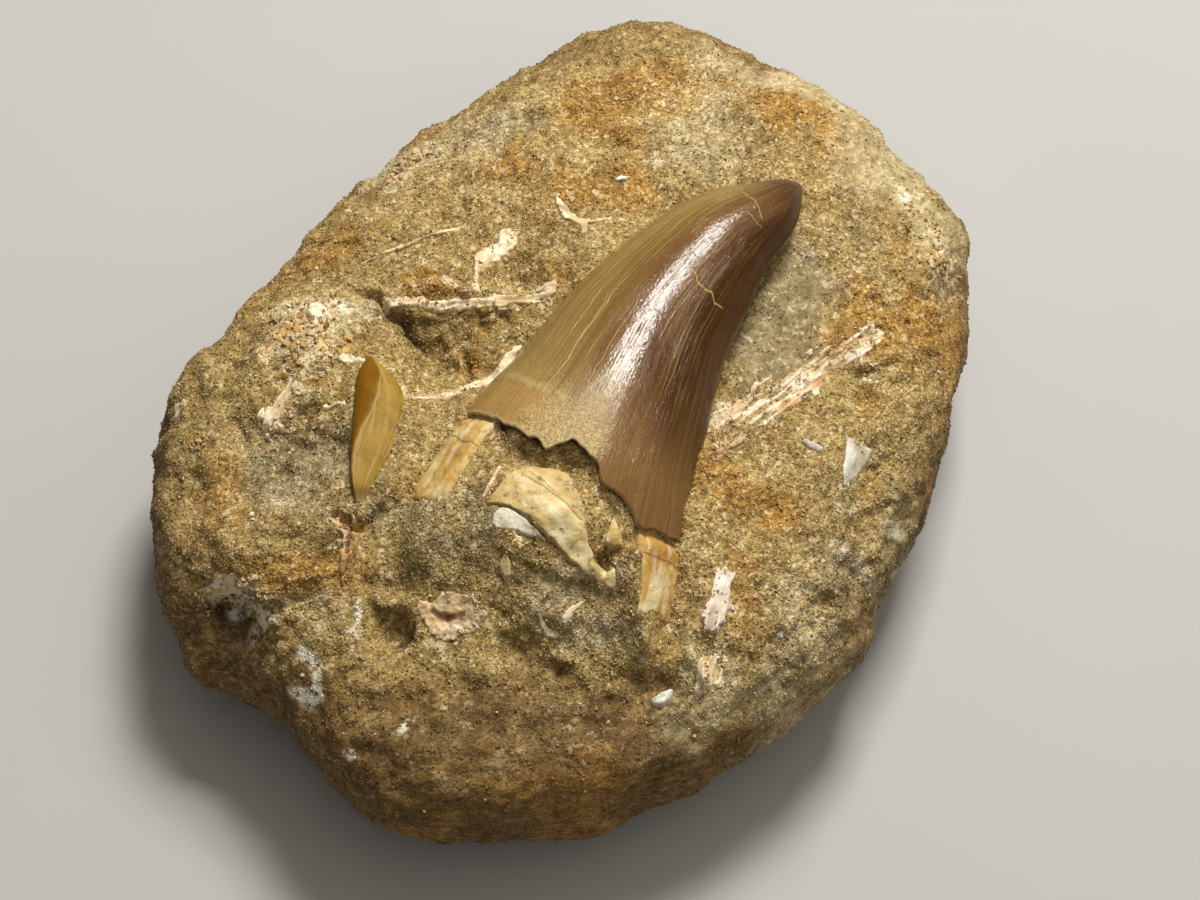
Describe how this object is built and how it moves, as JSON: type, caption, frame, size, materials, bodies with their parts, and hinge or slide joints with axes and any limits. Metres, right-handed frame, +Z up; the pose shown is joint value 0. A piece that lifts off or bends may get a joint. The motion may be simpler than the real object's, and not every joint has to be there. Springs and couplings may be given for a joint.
{
  "type": "fossil mosasaur tooth in matrix",
  "caption": "Curved brown mosasaur tooth, broken at its base, lying in a rounded block of sandy phosphate matrix with scraps of fish tooth, bone and shell.",
  "frame": {"origin": "under the middle of the block, on the surface that it rests on", "axes": "+Z up through the block's thickness; +Y away from the tooth's broken base, with the tooth's tip pointing to +X and +Y"},
  "size_m": [0.1005, 0.1086, 0.0398],
  "materials": {
    "matrix_stone": "matte, sandy",
    "tooth_enamel": "glossy, finely cracked",
    "tooth_dentine": "satin, stained",
    "pale_bone": "matte, chalky",
    "amber_enamel": "glossy, translucent",
    "pearly_enamel": "satin, pearly"
  },
  "bodies": {
    "root": {"matrix_block": "matrix_stone", "tooth_crown": "tooth_enamel", "tooth_base_left": "tooth_dentine", "tooth_base_right": "tooth_dentine", "dentine_tongue": "tooth_dentine", "dentine_flake": "pale_bone", "dentine_chip": "tooth_dentine", "fish_fang": "amber_enamel", "fang_root": "tooth_dentine", "shark_tooth": "pearly_enamel", "bone_splinter": "pale_bone", "cream_nodule": "pale_bone", "bone_rib": "pale_bone", "bone_plate": "pale_bone", "y_bone": "pale_bone", "bone_sliver": "pale_bone", "spine_needle": "pale_bone", "bone_band": "tooth_dentine", "shell_flake": "tooth_dentine", "white_chip": "pearly_enamel", "fish_scale": "pale_bone"}
  },
  "joints": []
}
